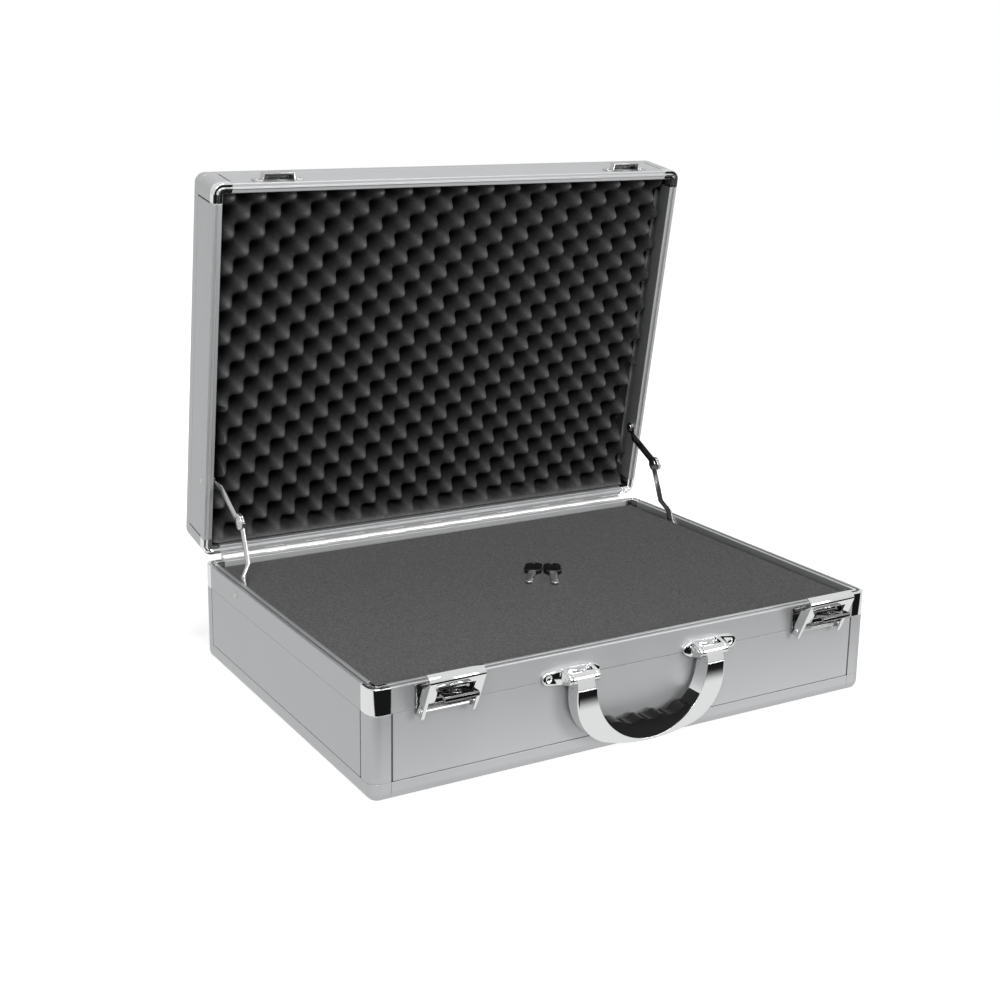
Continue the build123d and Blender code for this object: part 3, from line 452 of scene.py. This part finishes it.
# Modelling helpers
def start_alone(piece=None):
    """Leaves only one piece selected and active, or nothing."""
    if bpy.context.object and bpy.context.object.mode != "OBJECT":
        bpy.ops.object.mode_set(mode="OBJECT")
    bpy.ops.object.select_all(action="DESELECT")
    bpy.context.view_layer.objects.active = piece
    if piece:
        piece.select_set(True)


def clear_edges(piece):
    """Leaves no edge of a piece selected, ready to select some by their place."""
    start_alone(piece)
    bpy.ops.object.mode_set(mode="EDIT")
    bpy.ops.mesh.select_mode(type="EDGE")
    bpy.ops.mesh.select_all(action="DESELECT")
    bpy.ops.object.mode_set(mode="OBJECT")


def bevel_edges(piece, chosen, width, segments):
    """Rounds the edges for which the test on the heights of their two ends holds."""
    clear_edges(piece)
    for line in piece.data.edges:
        line.select = chosen(*[piece.data.vertices[i].co.z for i in line.vertices])
    bpy.ops.object.mode_set(mode="EDIT")
    bpy.ops.mesh.bevel(offset=width, segments=segments)
    bpy.ops.object.mode_set(mode="OBJECT")


def apply_modifier(piece, kind, **settings):
    """Adds a modifier to a piece and applies it at once."""
    start_alone(piece)
    modifier = piece.modifiers.new(kind.title(), kind)
    for name, value in settings.items():
        setattr(modifier, name, value)
    bpy.ops.object.modifier_apply(modifier=modifier.name)


def apply_place(piece):
    """Moves a piece's place, turn and size into its mesh."""
    start_alone(piece)
    bpy.ops.object.transform_apply(location=True, rotation=True, scale=True)


def smooth(piece, angle):
    """Shades a piece smooth, apart from edges sharper than an angle in degrees."""
    start_alone(piece)
    bpy.ops.object.shade_smooth_by_angle(angle=radians(angle))


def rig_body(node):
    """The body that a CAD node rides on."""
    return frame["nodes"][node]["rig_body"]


def softened(node, name, width, segments=2, sharp=35.0, shape=None):
    """A copy of a pressed or moulded part, shaped further and with its edges rounded over."""
    merge_distance, flat_angle = 0.002 * MM, radians(0.5)
    source = frame["nodes"][node]
    piece = bpy.data.objects.new(name, source.data.copy())
    bpy.context.collection.objects.link(piece)
    start_alone(piece)
    bpy.ops.object.mode_set(mode="EDIT")
    bpy.ops.mesh.select_all(action="SELECT")
    bpy.ops.mesh.remove_doubles(threshold=merge_distance)
    bpy.ops.mesh.dissolve_limited(angle_limit=flat_angle)
    bpy.ops.object.mode_set(mode="OBJECT")
    if shape:
        shape(piece)
    apply_modifier(piece, "BEVEL", width=width, segments=segments, limit_method="ANGLE",
                   angle_limit=radians(sharp), use_clamp_overlap=True, miter_outer="MITER_ARC")
    smooth(piece, 40)
    give_material(piece, finish_of(node))
    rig.replaces(piece, node)
    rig.ride(piece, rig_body(node))
    return piece


def cut_away(piece, middle, size, turn=(0, 0, 0)):
    """Cuts a box out of a piece."""
    start_alone()
    bpy.ops.mesh.primitive_cube_add(size=1, location=middle, rotation=turn)
    cutter = bpy.context.object
    cutter.scale = size
    apply_place(cutter)
    apply_modifier(piece, "BOOLEAN", object=cutter, operation="DIFFERENCE", solver="EXACT")
    bpy.data.objects.remove(cutter)


def joint_named(name):
    """A joint of the frame, by its name."""
    return next(joint for joint in frame["joints"] if joint["name"] == name)


def lid_turn():
    """Matrix that opens the lid about its hinge, from closed to where it stands."""
    joint = joint_named("lid_hinge")
    hinge = Matrix.Translation(Vector(joint["pos_m"]))
    angle = joint["range_deg"][0]
    return hinge @ Matrix.Rotation(radians(angle), 4, "X") @ hinge.inverted()


# Operators
class CASE_OT_shell(bpy.types.Operator):
    """Gives every CAD node the finish of its real part"""
    bl_idname = "case.shell"
    bl_label = "Shell"

    def execute(self, context):
        for name, node in frame["nodes"].items():
            give_material(node, finish_of(name))
        return {"FINISHED"}


class CASE_OT_latches(bpy.types.Operator):
    """Rounds the latches and keepers over, as pressed and plated steel is"""
    bl_idname = "case.latches"
    bl_label = "Latches"

    def execute(self, context):
        sizes = context.scene.case_sizes
        width = sizes.hardware_round
        for side in SIDES:
            softened(f"latch_{side}_cover", f"latch_{side}_cover_bright", width,
                     shape=lambda cover: self.open_below(cover, side, sizes.latch_tilt))
            softened(f"latch_{side}_lever", f"latch_{side}_lever_bright", width)
            softened(f"latch_{side}_plate", f"latch_{side}_plate_bright", width / 2)
            softened(f"latch_{side}_carrier", f"latch_{side}_carrier_bright", width / 2)
            softened(f"keeper_{side}", f"keeper_{side}_bright", width / 2)
        return {"FINISHED"}

    def open_below(self, cover, side, tilt):
        """Widens the window downwards, so that the cover stands on two thin limbs."""
        hinge = Vector(joint_named(f"latch_{side}_cover_hinge")["pos_m"])
        outward = Vector((0, -cos(tilt), -sin(tilt)))
        upward = Vector((0, -sin(tilt), cos(tilt)))
        window_middle = hinge + 3 * MM * outward + 3.7 * MM * upward
        window_size = (39.5 * MM, 9 * MM, 17 * MM)
        cut_away(cover, window_middle, window_size, (tilt, 0, 0))


class CASE_OT_handle(bpy.types.Operator):
    """Rounds the handle's bow, brackets and grip over"""
    bl_idname = "case.handle"
    bl_label = "Handle"

    def execute(self, context):
        sizes = context.scene.case_sizes
        width = sizes.hardware_round
        bow = softened("handle_bow", "handle_bow_bright", width, sharp=50.0)
        # Even normals keep what the bow's broad faces mirror straight
        apply_modifier(bow, "WEIGHTED_NORMAL", keep_sharp=True)
        softened("handle_grip", "handle_grip_soft", 4 * width, segments=4, sharp=50.0,
                 shape=lambda grip: self.deepen_waves(grip, sizes.grip_wave))
        for side in SIDES:
            softened(f"handle_{side}_bracket", f"handle_{side}_bracket_bright", 2 * width)
        return {"FINISHED"}

    def deepen_waves(self, grip, factor):
        """Draws the finger waves on the upper side of the grip deeper."""
        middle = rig.box("handle_grip")[1].z - 7.5 * MM
        wave_reach, waved_half = 4 * MM, 34 * MM
        for vertex in grip.data.vertices:
            place = vertex.co
            if place.z > middle - wave_reach and abs(place.x) < waved_half:
                place.z = middle + (place.z - middle) * factor


class CASE_OT_stays(bpy.types.Operator):
    """Rounds the links of the lid stays over"""
    bl_idname = "case.stays"
    bl_label = "Stays"

    def execute(self, context):
        width = context.scene.case_sizes.hardware_round
        for side in SIDES:
            for link in ("lower", "upper"):
                softened(f"stay_{side}_{link}_link", f"stay_{side}_{link}_plated", width)
        return {"FINISHED"}


class CASE_OT_keys(bpy.types.Operator):
    """Rounds the two keys that lie on the foam"""
    bl_idname = "case.keys"
    bl_label = "Keys"

    def execute(self, context):
        width = context.scene.case_sizes.hardware_round
        softened("key_heads", "key_heads_moulded", 2 * width)
        softened("key_blades", "key_blades_plated", width / 2)
        return {"FINISHED"}


class CASE_OT_base_foam(bpy.types.Operator):
    """Lays the flat foam in the base, with soft upper edges"""
    bl_idname = "case.base_foam"
    bl_label = "Base foam"

    def execute(self, context):
        corner_round = 3 * MM
        low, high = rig.box("base_foam")
        start_alone()
        bpy.ops.mesh.primitive_cube_add(size=1, location=(low + high) / 2)
        slab = context.object
        slab.name = "foam_in_base"
        slab.scale = high - low
        apply_place(slab)
        # The four upright edges first, then all that lies in the upper face
        bevel_edges(slab, lambda a, b: abs(a - b) > MM, corner_round, 5)
        bevel_edges(slab, lambda a, b: min(a, b) > high.z - 0.01 * MM,
                    context.scene.case_sizes.foam_round, 4)
        smooth(slab, 40)
        give_material(slab, "flat_foam")
        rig.replaces(slab, "base_foam")
        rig.slot(slab, "base_foam")
        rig.padded(slab, fill=1.0)
        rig.ride(slab, "base")
        return {"FINISHED"}


class CASE_OT_lid_foam(bpy.types.Operator):
    """Shapes the convoluted foam of the lid: rounded peaks and pits in every second place"""
    bl_idname = "case.lid_foam"
    bl_label = "Lid foam"

    def execute(self, context):
        sizes = context.scene.case_sizes
        opened = lid_turn()
        closed = opened.inverted()
        # The foam is shaped in the closed lid, where its wavy side faces down
        corners = [closed @ v.co for v in frame["nodes"]["lid_foam"].data.vertices]
        low = Vector(min(c[i] for c in corners) for i in range(3))
        high = Vector(max(c[i] for c in corners) for i in range(3))
        crate = self.wavy_side(low, high, sizes)
        self.close_block(crate, high.z)
        # The foam is cut out at both sides, where the stays fold away when the lid is shut
        notch_x, notch_y = 225 * MM, 66.3 * MM
        notch_size = (26.6 * MM, 76.6 * MM, 2 * (high.z - low.z))
        for sense in (-1, 1):
            cut_away(crate, (sense * notch_x, notch_y, (low.z + high.z) / 2), notch_size)
        self.mark_pits(crate, low.z, sizes.pit_depth)
        crate.data.transform(opened)
        smooth(crate, 60)
        give_material(crate, "egg_crate_foam")
        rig.replaces(crate, "lid_foam")
        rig.slot(crate, "lid_foam")
        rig.padded(crate, fill=1.0)
        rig.ride(crate, "lid")
        return {"FINISHED"}

    def wavy_side(self, low, high, sizes):
        """The side with the pits, as a fine sheet that rolls down to its border."""
        grid_step = 1.8 * MM
        pit_x, pit_y = 4.5 * MM, 14.5 * MM
        fade = 2.5 * sizes.foam_roll
        roll_depth = 3 * sizes.foam_roll
        start_alone()
        bpy.ops.mesh.primitive_grid_add(
            x_subdivisions=round((high.x - low.x) / grid_step),
            y_subdivisions=round((high.y - low.y) / grid_step), size=1,
            location=((low.x + high.x) / 2, (low.y + high.y) / 2, low.z))
        crate = bpy.context.object
        crate.name = "foam_in_lid"
        crate.scale = (high.x - low.x, high.y - low.y, 1)
        apply_place(crate)
        for vertex in crate.data.vertices:
            x, y = vertex.co.x, vertex.co.y
            wave = (cos(2 * pi * (x - pit_x) / sizes.pitch_across)
                    * cos(2 * pi * (y - pit_y) / sizes.pitch_along))
            border = min(x - low.x, high.x - x, y - low.y)
            rolled = max(0, 1 - border / sizes.foam_roll) ** 2
            # The pits close before they reach the hinge side, where the foam stays full
            full = min(1, (high.y - y) / fade)
            vertex.co.z = low.z + sizes.pit_depth * full * (wave + 1) / 2 + roll_depth * rolled
        return crate

    def close_block(self, crate, back):
        """Pulls the sheet's border back to the flat side and closes the block there."""
        clear_edges(crate)
        bpy.ops.object.mode_set(mode="EDIT")
        bpy.ops.mesh.select_all(action="SELECT")
        bpy.ops.mesh.region_to_loop()
        bpy.ops.mesh.extrude_edges_move(TRANSFORM_OT_translate={"value": (0, 0, 1 * MM)})
        bpy.ops.object.mode_set(mode="OBJECT")
        for vertex in crate.data.vertices:
            if vertex.select:
                vertex.co.z = back
        bpy.ops.object.mode_set(mode="EDIT")
        bpy.ops.mesh.edge_face_add()
        bpy.ops.mesh.select_all(action="SELECT")
        bpy.ops.mesh.normals_make_consistent(inside=False)
        bpy.ops.object.mode_set(mode="OBJECT")

    def mark_pits(self, crate, face, depth):
        """Stores how far down a pit each point lies, for the painted shade of the foam's pits."""
        # Painted shade: this curve spreads the darkening of the pits up their walls
        pit_shade_curve = 0.4
        pit = crate.data.attributes.new("pit", "FLOAT", "POINT")
        for vertex in crate.data.vertices:
            share = min(1, max(0, vertex.co.z - face) / depth)
            pit.data[vertex.index].value = share ** pit_shade_curve


class CASE_OT_stage(bpy.types.Operator):
    """Sets out the white floor, the studio lights and the camera"""
    bl_idname = "case.stage"
    bl_label = "Stage"

    def execute(self, context):
        stage = context.scene.case_stage
        self.lay_floor(context, stage)
        self.paint_room(context, stage)
        self.hang_lights(context, stage)
        self.place_camera(context)
        return {"FINISHED"}

    def lay_floor(self, context, stage):
        """White paper with the case's own shadow, and what bright metal sees instead of it."""
        table_level = 0.01
        # Metres along the room: where the mirrored paper turns dark, and the table turns pale
        paper_end, table_end = (-0.292, -0.268), (-1.0, -0.85)
        # Metres from the case's middle: where the paper turns plain white for the camera
        plain_start, plain_white = 0.3, 0.75
        start_alone()
        bpy.ops.mesh.primitive_plane_add(size=12, location=(0, 0, -0.2 * MM))
        floor = context.object
        floor.name = "paper_floor"
        material = blank_material("white_paper")
        tree = material.node_tree
        seen = add_node(tree, "ShaderNodeLightPath")
        # Bright parts mirror the paper near the case, then the dark edge of the table in front
        # of it, and past that the pale floor of the room
        place = add_node(tree, "ShaderNodeTexCoord").outputs["Object"]
        across = add_node(tree, "ShaderNodeSeparateXYZ", links={0: place})
        near = add_node(tree, "ShaderNodeMapRange", {"interpolation_type": "SMOOTHSTEP"},
                        values={"From Min": paper_end[0], "From Max": paper_end[1],
                                "To Min": table_level, "To Max": stage.paper_level},
                        links={"Value": across.outputs["Y"]})
        far = add_node(tree, "ShaderNodeMapRange", {"interpolation_type": "SMOOTHSTEP"},
                       values={"From Min": table_end[0], "From Max": table_end[1],
                               "To Min": stage.paper_level, "To Max": 0.0},
                       links={"Value": across.outputs["Y"]})
        lit = add_node(tree, "ShaderNodeMath", {"operation": "MAXIMUM"},
                       links={0: near.outputs[0], 1: far.outputs[0]})
        mirrored = add_node(tree, "ShaderNodeMath", {"operation": "MAXIMUM"},
                            links={0: seen.outputs["Is Glossy Ray"],
                                   1: seen.outputs["Is Transmission Ray"]})
        in_metal = add_node(tree, "ShaderNodeMath", {"operation": "MULTIPLY"},
                            links={0: mirrored.outputs[0], 1: lit.outputs[0]})
        reach = add_node(tree, "ShaderNodeVectorMath", {"operation": "LENGTH"}, links={0: place})
        shown = add_node(tree, "ShaderNodeMapRange", {"interpolation_type": "SMOOTHSTEP"},
                         values={"From Min": plain_start, "From Max": plain_white,
                                 "To Min": stage.paper_glow, "To Max": 1.0},
                         links={"Value": reach.outputs["Value"]})
        glow = add_node(tree, "ShaderNodeMath", {"operation": "MULTIPLY_ADD"},
                        links={0: seen.outputs["Is Camera Ray"], 1: shown.outputs[0],
                               2: in_metal.outputs[0]})
        light = add_node(tree, "ShaderNodeEmission", links={"Strength": glow.outputs[0]})
        paper = add_node(tree, "ShaderNodeBsdfDiffuse", values={"Color": stage.floor_colour})
        matt = add_node(tree, "ShaderNodeMath", {"operation": "SUBTRACT"}, values={0: 1.0},
                        links={1: mirrored.outputs[0]})
        unseen = add_node(tree, "ShaderNodeMixShader",
                          links={0: matt.outputs[0], 2: paper.outputs[0]})
        both = add_node(tree, "ShaderNodeAddShader",
                        links={0: light.outputs[0], 1: unseen.outputs[0]})
        add_node(tree, "ShaderNodeOutputMaterial", links={"Surface": both.outputs[0]})
        floor.data.materials.append(material)
        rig.stage(floor)

    def paint_room(self, context, stage):
        """White for the camera, faint light on matt parts, and a pale room in bright metal."""
        world = bpy.data.worlds.new("white_room")
        context.scene.world = world
        world.use_nodes = True
        tree = world.node_tree
        tree.nodes.clear()
        seen = add_node(tree, "ShaderNodeLightPath")
        room = add_node(tree, "ShaderNodeBackground",
                        values={"Color": linear("#BEBEBE"), "Strength": stage.room_level})
        white = add_node(tree, "ShaderNodeBackground",
                         values={"Color": (1, 1, 1, 1), "Strength": 1.0})
        # Bright parts mirror a pale room that grows brighter from the walls to the softboxes
        wall_height, softbox_height = -0.1, 0.7
        way = add_node(tree, "ShaderNodeSeparateXYZ",
                       links={0: add_node(tree, "ShaderNodeTexCoord").outputs["Generated"]})
        height = add_node(tree, "ShaderNodeMapRange", {"interpolation_type": "SMOOTHSTEP"},
                          values={"From Min": wall_height, "From Max": softbox_height,
                                  "To Min": stage.wall_level, "To Max": stage.ceiling_level},
                          links={"Value": way.outputs["Z"]})
        pale = add_node(tree, "ShaderNodeBackground", links={"Strength": height.outputs[0]})
        mirrored = add_node(tree, "ShaderNodeMath", {"operation": "MAXIMUM"},
                            links={0: seen.outputs["Is Glossy Ray"],
                                   1: seen.outputs["Is Transmission Ray"]})
        inside = add_node(tree, "ShaderNodeMixShader",
                          links={0: mirrored.outputs[0], 1: room.outputs[0],
                                 2: pale.outputs[0]})
        shown = add_node(tree, "ShaderNodeMixShader",
                         links={0: seen.outputs["Is Camera Ray"], 1: inside.outputs[0],
                                2: white.outputs[0]})
        add_node(tree, "ShaderNodeOutputWorld", links={"Surface": shown.outputs[0]})

    def hang_lights(self, context, stage):
        """Three square softboxes, aimed at the middle of the case."""
        aim = Vector((0, 0, 0.12))
        for name, place, size, power in (
                ("key_light", (-1.3, -1.9, 1.6), 0.8, stage.key_power),
                ("top_light", (-0.1, -0.5, 2.4), 1.0, stage.top_power),
                ("fill_light", (1.1, -2.0, 0.6), 0.8, stage.fill_power)):
            data = bpy.data.lights.new(name, "AREA")
            data.shape = "SQUARE"
            data.size = size
            data.energy = power
            lamp = bpy.data.objects.new(name, data)
            context.collection.objects.link(lamp)
            lamp.location = place
            lamp.rotation_euler = (aim - Vector(place)).to_track_quat("-Z", "Y").to_euler()

    def place_camera(self, context):
        """A camera where the photograph was taken from, fitted to the case's corners."""
        place = Vector((-664.0, -1054.1, 501.6)) * MM
        azimuth, elevation, roll = radians(-28.71), radians(14.08), radians(0.34)
        data = bpy.data.cameras.new("camera")
        camera = bpy.data.objects.new("camera", data)
        context.collection.objects.link(camera)
        data.sensor_width = 36
        data.lens = 55.15
        data.shift_x = 0.061
        data.shift_y = -0.0416
        back = Vector((0, -1, 0))
        back.rotate(Matrix.Rotation(-elevation, 4, "X"))
        back.rotate(Matrix.Rotation(azimuth, 4, "Z"))
        turn = (-back).to_track_quat("-Z", "Y").to_matrix().to_4x4()
        camera.matrix_world = (Matrix.Translation(place) @ turn
                               @ Matrix.Rotation(roll, 4, "Z"))
        context.scene.camera = camera


class CASE_PT_panel(bpy.types.Panel):
    """Lists the steps that dress the case"""
    bl_idname = "CASE_PT_panel"
    bl_label = "Tool case"
    bl_space_type = "VIEW_3D"
    bl_region_type = "UI"
    bl_category = "Tool case"

    def draw(self, context):
        for step in steps:
            self.layout.operator(step.bl_idname)
        for group in (context.scene.case_finish, context.scene.case_sizes,
                      context.scene.case_stage):
            for name in group.__annotations__:
                self.layout.prop(group, name)


steps = (CASE_OT_shell, CASE_OT_latches, CASE_OT_handle, CASE_OT_stays, CASE_OT_keys,
         CASE_OT_base_foam, CASE_OT_lid_foam, CASE_OT_stage)
groups = {"case_finish": CaseFinish, "case_sizes": CaseSizes, "case_stage": CaseStage}


def register():
    for group in groups.values():
        bpy.utils.register_class(group)
    for name, group in groups.items():
        setattr(bpy.types.Scene, name, PointerProperty(type=group))
    for step in (*steps, CASE_PT_panel):
        bpy.utils.register_class(step)


def unregister():
    for step in reversed((*steps, CASE_PT_panel)):
        bpy.utils.unregister_class(step)
    for name in groups:
        delattr(bpy.types.Scene, name)
    for group in groups.values():
        bpy.utils.unregister_class(group)


def main():
    register()
    bpy.context.scene.view_settings.view_transform = "Standard"
    for step in steps:
        family, name = step.bl_idname.split(".")
        getattr(getattr(bpy.ops, family), name)()
    with open(SIZE_FILE, "w") as file:
        json.dump({"cad": [list(v) for v in case_box],
                   "visual": [list(v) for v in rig.bounds()]}, file)


if __name__ == "__main__":
    main()
